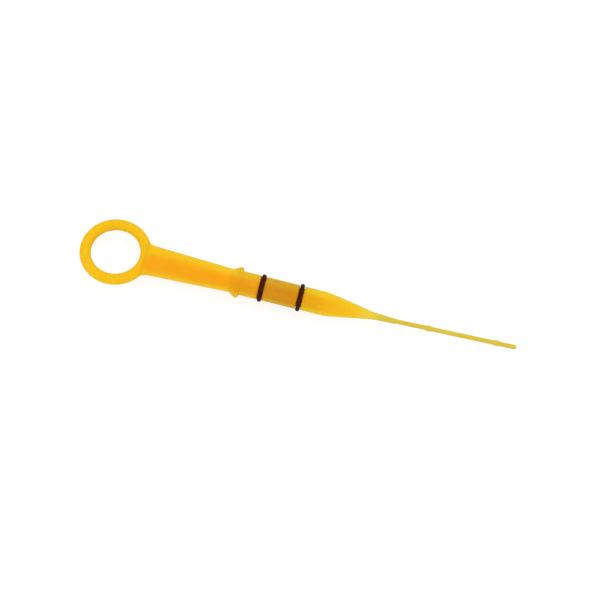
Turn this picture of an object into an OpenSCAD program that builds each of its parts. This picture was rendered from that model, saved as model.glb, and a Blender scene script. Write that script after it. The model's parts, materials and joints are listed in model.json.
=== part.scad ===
// Engine oil dipstick: a one-piece moulding with a finger ring, and the two O-rings on its barrel.
// The origin is on the shaft's axis in the plane of the stop's seat. The rod points along +X,
// the ring lies level, and the flats on the handle face down and up.

/* [Finger ring] */
// Width of the hole that a finger goes through
finger_hole_d = 22; // [18:0.5:30]
// Thickness of the ring's round section
ring_section_d = 5; // [3.5:0.1:6]

/* [Handle] */
// From the ring's centre to the seat on the guide tube
ring_to_seat = 57.9; // [50:0.1:90]
// Width of the flared end, on the ring's centre line
flare_d = 15.2; // [14.5:0.1:17]
// Length of the flare along the handle
flare_l = 2.9; // [1.5:0.1:5]
// Width of the handle where the flare ends
handle_root_d = 13.7; // [12.9:0.1:14.3]
// Width of the handle where the stop begins
handle_tip_d = 10.6; // [8:0.1:11]
// Radius that blends the flare into the handle
flare_blend_r = 10; // [4:0.5:12]
// Radius of the curves that thin the handle's end down into the ring
bow_r = 8; // [7:0.5:20]

/* [Stop] */
// Width over the two lugs at the shaft's sides
stop_d = 14; // [13.1:0.1:16]
// Thickness of the lugs, square to the ring
lug_t = 4.2; // [2.5:0.1:6]
// Length of the lugs' rim
stop_rim_l = 1.1; // [0.6:0.1:3]
// Length of the slope from the handle up to the rim
stop_slope_l = 2.6; // [0.6:0.1:3.5]
// Bevel between the seat and the rim
stop_bevel = 0.6; // [0.1:0.05:0.6]
// Height of the low collar that joins the lugs above and below the shaft
collar_step = 0.2; // [0.1:0.05:0.4]

/* [Sealing barrel] */
// Width of the land next to the stop
barrel_d = 11; // [10.4:0.1:11.8]
// How much slimmer each land is than the one before it
land_step = 0.1; // [0:0.05:0.4]
// From the seat to the point where the nose begins
barrel_l = 39.9; // [36:0.1:60]
// From the seat to the middle of the first groove
first_groove_at = 9.6; // [6:0.1:14]
// From the middle of one groove to the middle of the next
groove_pitch = 17.7; // [8:0.1:20]
// Bevel on the lips of the grooves
groove_bevel = 0.2; // [0.05:0.05:0.4]

/* [O-rings] */
// Thickness of the rubber
o_ring_section_d = 2; // [1.7:0.05:2.2]
// Width of the groove's root, which the rubber hugs
groove_root_d = 8.6; // [7.6:0.1:8.8]
// Gap between the rubber and the groove's root
o_ring_root_gap = 0.03; // [0.01:0.01:0.1]
// Gap between the rubber and each wall of its groove
o_ring_side_gap = 0.2; // [0.1:0.05:0.6]

/* [Nose] */
// Length of the nose's cone
nose_l = 21.5; // [12:0.1:26]
// Radius that rounds the barrel into the nose
nose_shoulder_r = 28; // [8:1:36]
// Radius that blends the nose into the neck
nose_blend_r = 25; // [8:1:36]
// Width of the neck where the nose ends
neck_root_d = 3.3; // [2.8:0.05:4.5]
// Width of the neck where the rod leaves it
neck_tip_d = 2.4; // [2.25:0.05:2.75]
// Length of the neck
neck_l = 9.7; // [6:0.1:16]

/* [Level rod] */
// Width of the rod
rod_d = 2.1; // [1.5:0.05:2.2]
// Length of the rod beyond the neck
rod_l = 55.6; // [48:0.1:120]
// Bend of the rod in the plane of the ring, in degrees
rod_bend = 1.9; // [0:0.1:3]
// Bevel at the rod's tip
tip_bevel = 0.4; // [0.1:0.05:0.6]
// Width of the beads that mark the oil levels
mark_d = 2.65; // [2.3:0.05:3.2]
// Length of each bead's top
mark_l = 1.2; // [0.4:0.1:2]
// Length of the slope at each end of a bead
mark_slope_l = 0.8; // [0.3:0.1:1.5]
// From the tip to the low mark
low_mark_at = 9; // [5:0.5:15]
// From the low mark to the full mark
mark_pitch = 31.2; // [8:0.2:32]

/* [Hidden] */
$fn = 96;

// Steps along each rounded corner of a profile
CORNER_STEPS = 6;
// How far a solid runs on past a face that trims it or into one that hides it
OVERRUN = 1;

ring_x = -ring_to_seat;
ring_mean_r = (finger_hole_d + ring_section_d) / 2;
ring_line_x = ring_x + ring_mean_r;

o_ring_mean_r = groove_root_d / 2 + o_ring_root_gap + o_ring_section_d / 2;
o_ring_outer_r = o_ring_mean_r + o_ring_section_d / 2;
groove_w = o_ring_section_d + 2 * o_ring_side_gap;
groove_x = [first_groove_at, first_groove_at + groove_pitch];
land_r = [for (i = [0:2]) barrel_d / 2 - i * land_step / 2];

// Half the thickness over the handle's flats, which touch a table together with the O-rings
flat_z = o_ring_outer_r;
// Where the bow's curves run out into the flats, with its tip inside the ring's section
bow_x = ring_line_x - ring_section_d / 4 + sqrt(pow(bow_r, 2) - pow(bow_r - flat_z, 2));

// Where the handle begins to slope up to the stop
stop_x = -stop_bevel - stop_rim_l - stop_slope_l;

neck_x = barrel_l + nose_l;
rod_x = neck_x + neck_l;
mark_x = [rod_l - low_mark_at - mark_pitch, rod_l - low_mark_at];

function unit(v) = v / norm(v);

// Points along an arc of radius r that rounds the corner at b, on the way from a to c
function corner(a, b, c, r) =
    let (
        back = unit(a - b),
        on = unit(c - b),
        half = acos(back * on) / 2,
        centre = b + unit(back + on) * r / sin(half),
        from = b + back * r / tan(half) - centre,
        to = b + on * r / tan(half) - centre,
        start = atan2(from.y, from.x),
        turn = (atan2(to.y, to.x) - start + 540) % 360 - 180
    )
    [for (i = [0:CORNER_STEPS])
        let (angle = start + turn * i / CORNER_STEPS)
        centre + r * [cos(angle), sin(angle)]];

// A solid of revolution about X, from points that hold a radius and a place along X
module turned(points) {
    rotate([0, 90, 0])
        rotate_extrude()
            polygon(points);
}

// The handle from its flared end to the stop's seat
function handle_profile() =
    let (
        flare_end = [flare_d / 2, ring_line_x],
        root = [handle_root_d / 2, ring_line_x + flare_l],
        tip = [handle_tip_d / 2, stop_x],
        stop_r = stop_d / 2
    )
    concat(
        [[0, ring_line_x - OVERRUN], [flare_d / 2, ring_line_x - OVERRUN], flare_end],
        corner(flare_end, root, tip, flare_blend_r),
        [
            tip,
            [stop_r, -stop_bevel - stop_rim_l],
            [stop_r, -stop_bevel],
            [stop_r - stop_bevel, 0]
        ]
    );

// One groove, from the land above it to the land below it
function groove_profile(i) =
    let (
        top = groove_x[i] - groove_w / 2,
        bottom = groove_x[i] + groove_w / 2,
        root_r = groove_root_d / 2
    )
    [
        [land_r[i], top - groove_bevel],
        [land_r[i] - groove_bevel, top],
        [root_r, top],
        [root_r, bottom],
        [land_r[i + 1] - groove_bevel, bottom],
        [land_r[i + 1], bottom + groove_bevel]
    ];

// The nose's cone and the neck, with a bevelled end that the rod comes out of
function nose_profile() =
    let (
        land = [land_r[2], groove_x[1]],
        shoulder = [land_r[2], barrel_l],
        neck_root = [neck_root_d / 2, neck_x],
        neck_tip = [neck_tip_d / 2, rod_x],
        hidden_r = rod_d / 4,
        bevel_end_x = rod_x + neck_tip_d / 2 - hidden_r
    )
    concat(
        corner(land, shoulder, neck_root, nose_shoulder_r),
        corner(shoulder, neck_root, neck_tip, nose_blend_r),
        [neck_tip, [hidden_r, bevel_end_x], [0, bevel_end_x]]
    );

function shaft_profile() = concat(
    handle_profile(),
    [[land_r[0], 0]],
    groove_profile(0),
    groove_profile(1),
    nose_profile()
);

// What comes off the turned stop above and below the lugs, down to the low collar
module lug_trim() {
    translate([stop_x, 0, 0])
        rotate([90, 0, 90])
            linear_extrude(height = OVERRUN - stop_x)
                difference() {
                    square(2 * stop_d, center = true);
                    square([2 * stop_d, lug_t], center = true);
                    circle(r = barrel_d / 2 + collar_step);
                }
}

// A slab as thick as the flats, seen from the side: it ends in a bow inside the ring's section
module flats_slab() {
    rotate([90, 0, 0])
        linear_extrude(height = 2 * stop_d, center = true) {
            intersection_for(side = [-1, 1])
                translate([bow_x, side * (bow_r - flat_z)])
                    circle(r = bow_r);
            translate([bow_x, -flat_z])
                square([rod_x + rod_l - bow_x, 2 * flat_z]);
        }
}

module finger_ring() {
    translate([ring_x, 0, 0])
        rotate_extrude()
            translate([ring_mean_r, 0])
                circle(d = ring_section_d);
}

// A bead around the rod, from where it rises to where it falls again
function mark_profile(x) =
    let (half = mark_l / 2)
    [
        [rod_d / 2, x - half - mark_slope_l],
        [mark_d / 2, x - half],
        [mark_d / 2, x + half],
        [rod_d / 2, x + half + mark_slope_l]
    ];

// The level rod, which starts inside the neck and leaves it at the rod's bend
module level_rod() {
    rod_r = rod_d / 2;
    translate([rod_x - OVERRUN, 0, 0])
        rotate([0, 0, rod_bend])
            translate([OVERRUN, 0, 0])
                turned(concat(
                    [[0, -OVERRUN], [rod_r, -OVERRUN]],
                    mark_profile(mark_x[0]),
                    mark_profile(mark_x[1]),
                    [[rod_r, rod_l - tip_bevel], [rod_r - tip_bevel, rod_l], [0, rod_l]]
                ));
}

module dipstick_body() {
    color([0.96, 0.72, 0.07]) {
        finger_ring();
        intersection() {
            difference() {
                turned(shaft_profile());
                lug_trim();
            }
            flats_slab();
        }
        level_rod();
    }
}

module o_ring(x) {
    color([0.07, 0.055, 0.05])
        translate([x, 0, 0])
            rotate([0, 90, 0])
                rotate_extrude()
                    translate([o_ring_mean_r, 0])
                        circle(d = o_ring_section_d);
}

module upper_o_ring() {
    o_ring(groove_x[0]);
}

module lower_o_ring() {
    o_ring(groove_x[1]);
}

dipstick_body();
upper_o_ring();
lower_o_ring();
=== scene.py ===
import json
import math

import bpy
from mathutils import Matrix, Vector


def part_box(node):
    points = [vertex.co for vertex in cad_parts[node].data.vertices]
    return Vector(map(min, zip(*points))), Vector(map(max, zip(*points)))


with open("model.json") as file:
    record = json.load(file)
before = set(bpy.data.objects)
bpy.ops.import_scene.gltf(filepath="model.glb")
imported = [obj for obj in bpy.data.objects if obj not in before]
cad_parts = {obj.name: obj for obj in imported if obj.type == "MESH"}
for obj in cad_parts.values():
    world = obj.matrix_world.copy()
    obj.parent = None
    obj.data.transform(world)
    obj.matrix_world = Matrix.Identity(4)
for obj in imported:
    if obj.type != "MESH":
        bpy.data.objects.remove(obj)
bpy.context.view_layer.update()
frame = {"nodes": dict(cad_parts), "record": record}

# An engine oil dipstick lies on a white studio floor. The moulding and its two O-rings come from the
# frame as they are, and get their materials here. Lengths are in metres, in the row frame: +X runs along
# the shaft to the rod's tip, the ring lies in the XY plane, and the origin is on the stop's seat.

MM = 0.001

body = frame["nodes"]["dipstick_body"]
o_rings = [frame["nodes"]["upper_o_ring"], frame["nodes"]["lower_o_ring"]]

body_lo, body_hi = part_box("dipstick_body")
o_ring_boxes = [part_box(o.name) for o in o_rings]
mounts = {m["name"]: m for m in frame["record"]["mounts"]}
ring_centre = Vector(mounts["finger_ring"]["pos_m"])
hole_r = mounts["finger_ring"]["dims"]["r_mm"] * MM
# Where the ring's centre line meets the handle
ring_line_x = ring_centre.x + (ring_centre.x - body_lo.x + hole_r) / 2
barrel_end_x = mounts["tube_plug"]["dims"]["length_mm"] * MM
floor_z = body_lo.z


# Shader nodes

def node(tree, kind, inputs=None, **settings):
    """A shader node with these settings. An input is a constant or another node's output."""
    made = tree.nodes.new("ShaderNode" + kind)
    for name, value in settings.items():
        setattr(made, name, value)
    for name, value in (inputs or {}).items():
        set_input(tree, made.inputs[name], value)
    return made


def set_input(tree, socket, value):
    if isinstance(value, bpy.types.NodeSocket):
        tree.links.new(value, socket)
    else:
        socket.default_value = value


def math_node(tree, operation, a, b=0.0):
    return node(tree, "Math", {0: a, 1: b}, operation=operation).outputs[0]


def vector_math(tree, operation, a, b=(0.0, 0.0, 0.0)):
    return node(tree, "VectorMath", {0: a, 1: b}, operation=operation)


def remap(tree, value, low, high, to_low=0.0, to_high=1.0, smooth=False):
    made = node(
        tree,
        "MapRange",
        {"Value": value, "From Min": low, "From Max": high, "To Min": to_low, "To Max": to_high},
        interpolation_type="SMOOTHSTEP" if smooth else "LINEAR",
    )
    return made.outputs["Result"]


def noise(tree, vector, size, detail=3.0, roughness=0.5):
    """Noise whose features are about size metres across. Most of it lies between 0.3 and 0.7."""
    inputs = {"Vector": vector, "Scale": 1.0 / size, "Detail": detail, "Roughness": roughness}
    return node(tree, "TexNoise", inputs).outputs["Fac"]


def stretched(tree, vector, along, across):
    """Coordinates in which a cell of noise is along metres long on the shaft and across metres wide."""
    made = node(tree, "Mapping", {"Vector": vector, "Scale": (1 / along, 1 / across, 1 / across)})
    return made.outputs["Vector"]


def mixed(tree, factor, a, b, blend="MIX"):
    made = node(tree, "Mix", data_type="RGBA", blend_type=blend)
    sockets = {socket.identifier: socket for socket in made.inputs}
    set_input(tree, sockets["Factor_Float"], factor)
    set_input(tree, sockets["A_Color"], a)
    set_input(tree, sockets["B_Color"], b)
    return next(s for s in made.outputs if s.identifier == "Result_Color")


def colour_ramp(tree, factor, stops):
    """A ramp through stops, which are (place from 0 to 1, colour) in order."""
    made = node(tree, "ValToRGB", {"Fac": factor})
    ramp = made.color_ramp
    ramp.interpolation = "EASE"
    while len(ramp.elements) < len(stops):
        ramp.elements.new(0.5)
    for element, (place, _) in zip(ramp.elements, stops):
        element.position = place
    # The colours come second, in case the elements are sorted again as they move
    for element, (_, colour) in zip(ramp.elements, stops):
        element.color = (*colour, 1.0)
    return made.outputs["Color"]


def bump(tree, height, strength, distance, normal=None):
    """Relief up to distance metres high, on top of the relief in normal."""
    inputs = {"Height": height, "Strength": strength, "Distance": distance}
    if normal is not None:
        inputs["Normal"] = normal
    return node(tree, "Bump", inputs).outputs["Normal"]


def new_material(name):
    material = bpy.data.materials.new(name)
    material.use_nodes = True
    material.node_tree.nodes.clear()
    return material, material.node_tree


def finish_surface(tree, shader):
    output = node(tree, "OutputMaterial")
    tree.links.new(shader.outputs[0], output.inputs["Surface"])


def dress(obj, material):
    for slot in obj.material_slots:
        slot.material = material


# Moulded nylon

# Tints of the one yellow nylon, from the ring to the rod, away from the stripes of painted shade. Between
# the seals the tint is painted shade, darker where the O-rings keep light out of the nylon
RING_YELLOW = (0.90, 0.54, 0.003)
HANDLE_GOLD = (0.92, 0.56, 0.004)
STOP_AMBER = (0.80, 0.49, 0.005)
SHADE_BETWEEN_SEALS = (0.64, 0.37, 0.010)
LAND_GOLD = (0.80, 0.57, 0.006)
NOSE_GOLD = (0.90, 0.59, 0.008)
NECK_YELLOW = (0.85, 0.63, 0.045)
ROD_OLIVE = (0.68, 0.55, 0.055)
# The tint is multiplied by this along two opposite stripes: painted shade on the sides of the handle and
# barrel, and the deeper tone of the thick nylon
PAINTED_SHADE_DEEPER = (1.0, 0.68, 0.30, 1.0)
# How far the upper stripe's middle lies from the top, towards -Y
STRIPE_ANGLE = math.radians(32)
STRIPE_DIRECTION = (0.0, -math.sin(STRIPE_ANGLE), math.cos(STRIPE_ANGLE))
# The cosine of the angle from a stripe's middle to its edge
STRIPE_EDGE = 0.60

CLOUD_SIZE = 9 * MM
CLOUD_ORANGE = (0.86, 0.30, 0.004, 1.0)
CLOUD_STRENGTH = 0.14
FLOW_LINE_L = 14 * MM
FLOW_LINE_W = 1.6 * MM
FLOW_YELLOW = (0.96, 0.72, 0.06, 1.0)
FLOW_STRENGTH = 0.08

NYLON_IOR = 1.53
NYLON_SPECULAR = 0.08
NYLON_ROUGHNESS = (0.42, 0.54)
NYLON_SCATTER = 0.3
NYLON_SCATTER_RADII = (1.0, 0.5, 0.08)
NYLON_SCATTER_SCALE = 2.2 * MM
GRAIN_SIZE = 0.35 * MM
GRAIN_H = 0.03 * MM
GRAIN_ROUGHNESS = (-0.04, 0.06)
SINK_SIZE = 5 * MM
SINK_H = 0.25 * MM
PARTING_LINE_HALF_W = 0.09 * MM
PARTING_LINE_H = 0.05 * MM


def nylon_tint(tree, place, x):
    """The colour that follows the shaft from the ring to the rod, with its painted shade, without its
    clouds and flow lines.
    """
    seal_a, seal_b = [(lo.x + hi.x) / 2 for lo, hi in o_ring_boxes]
    stations = [
        (body_lo.x, RING_YELLOW),
        (ring_line_x - 4 * MM, RING_YELLOW),
        (ring_line_x + 3 * MM, HANDLE_GOLD),
        (-8 * MM, HANDLE_GOLD),
        (0.0, STOP_AMBER),
        (seal_a - 3 * MM, STOP_AMBER),
        # Painted shade: the barrel is darker and browner between the O-rings
        (seal_a + 1 * MM, SHADE_BETWEEN_SEALS),
        (seal_b - 1 * MM, SHADE_BETWEEN_SEALS),
        (seal_b + 2 * MM, LAND_GOLD),
        (barrel_end_x - 7 * MM, LAND_GOLD),
        (barrel_end_x - 1 * MM, NOSE_GOLD),
        (barrel_end_x + 10 * MM, NOSE_GOLD),
        (barrel_end_x + 19 * MM, NECK_YELLOW),
        (barrel_end_x + 26 * MM, ROD_OLIVE),
    ]
    length = body_hi.x - body_lo.x
    along = remap(tree, x, body_lo.x, body_hi.x)
    tint = colour_ramp(tree, along, [((sx - body_lo.x) / length, colour) for sx, colour in stations])

    # Painted shade: it deepens along two opposite sides of the handle and the barrel, as the thick nylon
    # does, and fades out in the ring and nose
    from_axis = vector_math(tree, "MULTIPLY", place, (0.0, 1.0, 1.0)).outputs["Vector"]
    outward = vector_math(tree, "NORMALIZE", from_axis).outputs["Vector"]
    towards = vector_math(tree, "DOT_PRODUCT", outward, STRIPE_DIRECTION).outputs["Value"]
    facing = math_node(tree, "ABSOLUTE", towards)
    stripe = remap(tree, facing, STRIPE_EDGE, 1.0, smooth=True)
    begins = remap(tree, x, ring_line_x - 3 * MM, ring_line_x + 4 * MM, smooth=True)
    ends = remap(tree, x, barrel_end_x - 10 * MM, barrel_end_x + 22 * MM, 1.0, 0.0, smooth=True)
    depth_and_painted_shade = math_node(tree, "MULTIPLY", stripe, math_node(tree, "MULTIPLY", begins, ends))
    return mixed(tree, depth_and_painted_shade, tint, mixed(tree, 1.0, tint, PAINTED_SHADE_DEEPER, blend="MULTIPLY"))


def nylon_material():
    material, tree = new_material("Moulded_yellow_nylon")
    place = node(tree, "TexCoord").outputs["Object"]
    xyz = node(tree, "SeparateXYZ", {"Vector": place})
    x, z = xyz.outputs["X"], xyz.outputs["Z"]

    # Slow clouds and long flow lines shift the tint a little
    clouds = noise(tree, place, CLOUD_SIZE, detail=2.0)
    flow = noise(tree, stretched(tree, place, FLOW_LINE_L, FLOW_LINE_W), 1.0)
    tint = nylon_tint(tree, place, x)
    tint = mixed(tree, remap(tree, clouds, 0.35, 0.7, 0.0, CLOUD_STRENGTH), tint, CLOUD_ORANGE)
    tint = mixed(tree, remap(tree, flow, 0.4, 0.75, 0.0, FLOW_STRENGTH), tint, FLOW_YELLOW)

    # Gloss: satin, with patches where the mould was smoother
    grain = noise(tree, place, GRAIN_SIZE, detail=4.0, roughness=0.6)
    patches = remap(tree, clouds, 0.3, 0.7, *NYLON_ROUGHNESS)
    rough = math_node(tree, "ADD", patches, remap(tree, grain, 0.3, 0.7, *GRAIN_ROUGHNESS))

    # Relief: soft sink marks, fine grain, and the mould's parting line round the ring's plane
    sinks = noise(tree, place, SINK_SIZE, detail=1.0)
    from_parting = math_node(tree, "ABSOLUTE", z)
    parting = remap(tree, from_parting, 0.0, PARTING_LINE_HALF_W, 1.0, 0.0, smooth=True)
    relief = bump(tree, sinks, strength=0.35, distance=SINK_H)
    relief = bump(tree, grain, strength=0.25, distance=GRAIN_H, normal=relief)
    relief = bump(tree, parting, strength=1.0, distance=PARTING_LINE_H, normal=relief)

    shader = node(
        tree,
        "BsdfPrincipled",
        {
            "Base Color": tint,
            "Roughness": rough,
            "Normal": relief,
            "IOR": NYLON_IOR,
            "Specular IOR Level": NYLON_SPECULAR,
            "Subsurface Weight": NYLON_SCATTER,
            "Subsurface Radius": NYLON_SCATTER_RADII,
            "Subsurface Scale": NYLON_SCATTER_SCALE,
        },
    )
    finish_surface(tree, shader)
    return material


# O-ring rubber

RUBBER_BLACK = (0.042, 0.006, 0.002, 1.0)
RUBBER_BROWN = (0.090, 0.014, 0.003, 1.0)
RUBBER_IOR = 1.52
RUBBER_SPECULAR = 0.04
RUBBER_ROUGHNESS = (0.48, 0.62)
BLOOM_SIZE = 1.8 * MM
BLOOM_STRENGTH = 0.8
RUBBER_GRAIN_SIZE = 0.16 * MM
RUBBER_GRAIN_H = 0.02 * MM
RUBBER_GRAIN_ROUGHNESS = (-0.03, 0.05)
SEAM_HALF_W = 0.07 * MM
SEAM_H = 0.04 * MM


def rubber_material(name, middle_x):
    material, tree = new_material(name)
    place = node(tree, "TexCoord").outputs["Object"]
    x = node(tree, "SeparateXYZ", {"Vector": place}).outputs["X"]

    bloom = noise(tree, place, BLOOM_SIZE, detail=4.0, roughness=0.6)
    grain = noise(tree, place, RUBBER_GRAIN_SIZE)
    brown = remap(tree, bloom, 0.35, 0.75, 0.0, BLOOM_STRENGTH)
    patches = remap(tree, bloom, 0.3, 0.7, *RUBBER_ROUGHNESS)
    rough = math_node(tree, "ADD", patches, remap(tree, grain, 0.3, 0.7, *RUBBER_GRAIN_ROUGHNESS))

    # The seam that the mould's halves leave round the rubber
    from_middle = math_node(tree, "ABSOLUTE", math_node(tree, "SUBTRACT", x, middle_x))
    seam = remap(tree, from_middle, 0.0, SEAM_HALF_W, 1.0, 0.0, smooth=True)
    relief = bump(tree, grain, strength=0.35, distance=RUBBER_GRAIN_H)
    relief = bump(tree, seam, strength=1.0, distance=SEAM_H, normal=relief)

    shader = node(
        tree,
        "BsdfPrincipled",
        {
            "Base Color": mixed(tree, brown, RUBBER_BLACK, RUBBER_BROWN),
            "Roughness": rough,
            "Normal": relief,
            "IOR": RUBBER_IOR,
            "Specular IOR Level": RUBBER_SPECULAR,
        },
    )
    finish_surface(tree, shader)
    return material


dress(body, nylon_material())
for o_ring, (lo, hi) in zip(o_rings, o_ring_boxes):
    dress(o_ring, rubber_material("Rubber_" + o_ring.name, (lo.x + hi.x) / 2))


# Floor and light

FLOOR_SIDE = 4.0
# The floor's colour in the light that it throws on the object
FLOOR_PALE = (0.86, 0.86, 0.86, 1.0)
# How much of the floor's seen brightness is its own light, and how much is lit and so holds the shadow
FLOOR_GLOW = 0.80
FLOOR_LIT = 0.26
WHITE = (1.0, 1.0, 1.0, 1.0)
# The world's level as light on the object, and where the world is seen or reflected
WORLD_LEVEL = 0.74
SEEN_WORLD_LEVEL = 1.0


def seen(tree):
    """1 where it is seen, also in reflections or through clear things, and 0 where it only gives light."""
    path = node(tree, "LightPath").outputs
    either = math_node(tree, "MAXIMUM", path["Is Camera Ray"], path["Is Glossy Ray"])
    return math_node(tree, "MAXIMUM", either, path["Is Transmission Ray"])


def floor_material():
    material, tree = new_material("Studio_floor_white")
    pale = node(tree, "BsdfDiffuse", {"Color": FLOOR_PALE})
    lit = node(tree, "BsdfDiffuse", {"Color": (FLOOR_LIT, FLOOR_LIT, FLOOR_LIT, 1.0)})
    glow = node(tree, "Emission", {"Color": WHITE, "Strength": FLOOR_GLOW})
    white = node(tree, "AddShader", {0: lit.outputs[0], 1: glow.outputs[0]})
    both = node(tree, "MixShader", {"Fac": seen(tree), 1: pale.outputs[0], 2: white.outputs[0]})
    finish_surface(tree, both)
    return material


def make_floor():
    half = FLOOR_SIDE / 2
    corners = [(-half, -half, 0), (half, -half, 0), (half, half, 0), (-half, half, 0)]
    mesh = bpy.data.meshes.new("Studio_floor")
    mesh.from_pydata(corners, [], [(0, 1, 2, 3)])
    mesh.materials.append(floor_material())
    floor = bpy.data.objects.new("Studio_floor", mesh)
    floor.location = (0, 0, floor_z)
    bpy.context.scene.collection.objects.link(floor)


def make_world():
    world = bpy.data.worlds.new("Studio_white")
    world.use_nodes = True
    tree = world.node_tree
    tree.nodes.clear()
    level = remap(tree, seen(tree), 0.0, 1.0, WORLD_LEVEL, SEEN_WORLD_LEVEL)
    sky = node(tree, "Background", {"Color": WHITE, "Strength": level})
    output = node(tree, "OutputWorld")
    tree.links.new(sky.outputs[0], output.inputs["Surface"])
    bpy.context.scene.world = world


def make_lamp(name, position, target, size, level):
    """A square soft lamp. level is about what it adds to the brightness of a white face turned to it."""
    data = bpy.data.lights.new(name, "AREA")
    data.shape = "SQUARE"
    data.size = size
    offset = Vector(target) - Vector(position)
    data.energy = level * math.pi**2 * offset.length_squared
    lamp = bpy.data.objects.new(name, data)
    lamp.location = position
    lamp.rotation_euler = offset.to_track_quat("-Z", "Y").to_euler()
    bpy.context.scene.collection.objects.link(lamp)


middle = (body_lo + body_hi) / 2
make_floor()
make_world()
make_lamp("Key_lamp", position=(0.0, 0.55, 0.85), target=middle, size=0.7, level=0.26)
make_lamp("Fill_lamp", position=(0.0, -0.78, 0.45), target=middle, size=0.9, level=0.27)


# Camera

# The camera that the photograph was taken with, fitted to the object's outline. Pixels count from the
# picture's upper left corner, and the scale holds at the origin's distance.
PHOTO_SIDE = 600
ORIGIN_PIXEL = (240.96, 282.92)
PIXELS_PER_M = 2231.6
AZIMUTH = math.radians(0.67)
ELEVATION = math.radians(66.23)
ROLL = math.radians(13.37)
DISTANCE = 0.5
SENSOR_W = 36.0
FARTHEST_SEEN = 20.0


def make_camera():
    back = Vector(
        (
            math.sin(AZIMUTH) * math.cos(ELEVATION),
            -math.cos(AZIMUTH) * math.cos(ELEVATION),
            math.sin(ELEVATION),
        )
    )
    level = Vector((math.cos(AZIMUTH), math.sin(AZIMUTH), 0))
    upright = back.cross(level)
    right = math.cos(ROLL) * level + math.sin(ROLL) * upright
    up = math.cos(ROLL) * upright - math.sin(ROLL) * level
    to_centre = [(PHOTO_SIDE / 2 - pixel) / PIXELS_PER_M for pixel in ORIGIN_PIXEL]
    aim = right * to_centre[0] - up * to_centre[1]

    data = bpy.data.cameras.new("Photo_camera")
    data.sensor_width = SENSOR_W
    data.lens = SENSOR_W * PIXELS_PER_M * DISTANCE / PHOTO_SIDE
    data.clip_end = FARTHEST_SEEN
    camera = bpy.data.objects.new("Photo_camera", data)
    turn = Matrix((right, up, back)).transposed().to_4x4()
    camera.matrix_world = Matrix.Translation(aim + back * DISTANCE) @ turn
    bpy.context.scene.collection.objects.link(camera)
    bpy.context.scene.camera = camera


make_camera()
bpy.context.scene.view_settings.view_transform = "Standard"
